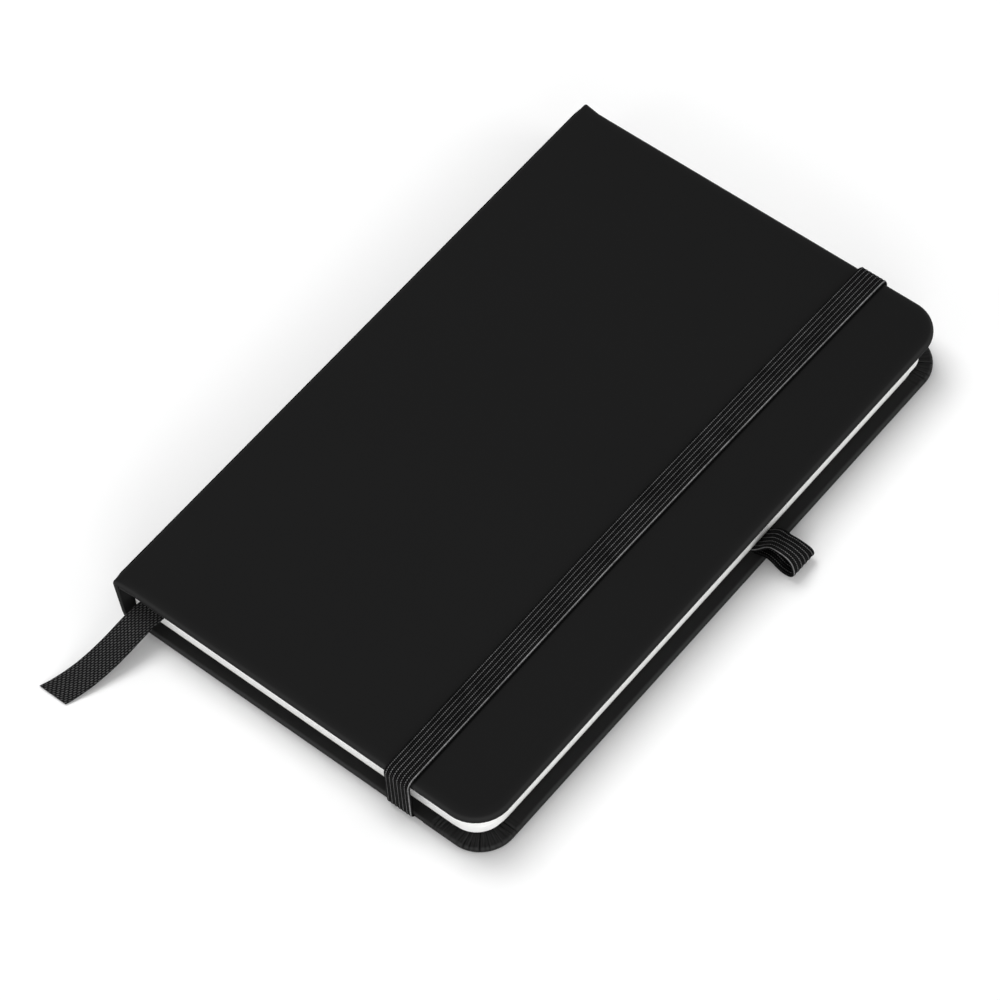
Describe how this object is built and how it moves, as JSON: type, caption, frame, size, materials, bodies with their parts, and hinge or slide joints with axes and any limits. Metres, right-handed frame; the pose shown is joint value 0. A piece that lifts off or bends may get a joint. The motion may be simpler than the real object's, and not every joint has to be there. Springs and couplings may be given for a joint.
{
  "type": "pocket notebook",
  "caption": "Hard-cover pocket notebook with square spine, rounded fore corners, elastic closing band, pen loop at the fore edge and ribbon marker.",
  "frame": {"origin": "middle of the back cover's flat underside", "axes": "+X from the spine to the fore edge, +Y from the tail to the head, +Z from the back cover to the front cover"},
  "size_m": [0.098, 0.1618, 0.0133],
  "materials": {
    "cover": "matte soft-touch coated",
    "board": "matte",
    "paper": "matte",
    "endpaper": "matte",
    "thread": "matte",
    "elastic": "knitted",
    "ribbon": "woven"
  },
  "bodies": {
    "back_cover": {"back_board": "board", "cover_skin_back": "cover", "spine_board": "board", "cover_skin_spine": "cover", "back_pastedown": "endpaper", "back_flyleaf": "endpaper", "section_2": "paper", "section_3": "paper", "section_4": "paper", "section_5": "paper", "section_6": "paper", "spine_lining": "paper", "sewing_thread_1": "thread", "sewing_thread_2": "thread", "sewing_thread_3": "thread", "sewing_thread_4": "thread", "ribbon_marker": "ribbon", "pen_loop": "elastic", "band_anchor_tail": "elastic", "band_anchor_head": "elastic"},
    "front_cover": {"front_board": "board", "cover_skin_front": "cover", "front_pastedown": "endpaper"},
    "front_flyleaf_leaf": {"front_flyleaf": "endpaper"},
    "first_section": {"section_1": "paper"},
    "elastic_band": {"band_span": "elastic", "band_leg_tail": "elastic", "band_leg_head": "elastic"}
  },
  "joints": [
    {"name": "front_cover_hinge", "type": "hinge", "parent": "back_cover", "child": "front_cover", "pos_m": [-0.0439, 0, 0.0126], "axis": [0, -1, 0], "range_deg": [0, 185]},
    {"name": "flyleaf_turn", "type": "hinge", "parent": "back_cover", "child": "front_flyleaf_leaf", "pos_m": [-0.043, 0, 0.01054], "axis": [0, -1, 0], "range_deg": [0, 97.5]},
    {"name": "first_section_turn", "type": "hinge", "parent": "back_cover", "child": "first_section", "pos_m": [-0.043, 0, 0.01044], "axis": [0, -1, 0], "range_deg": [0, 62.5]},
    {"name": "band_slip_off", "type": "slide", "parent": "back_cover", "child": "elastic_band", "axis": [1, 0, 0], "range_m": [0, 0.0265], "deforming": ["band_span", "band_leg_tail", "band_leg_head"]}
  ],
  "couplings": [
    {"joint": "flyleaf_turn", "follows": "front_cover_hinge", "ratio": 0.5243},
    {"joint": "first_section_turn", "follows": "front_cover_hinge", "ratio": 0.3351},
    {"joint": "band_slip_off", "follows": "front_cover_hinge", "m_per_rad": 0.008176}
  ]
}
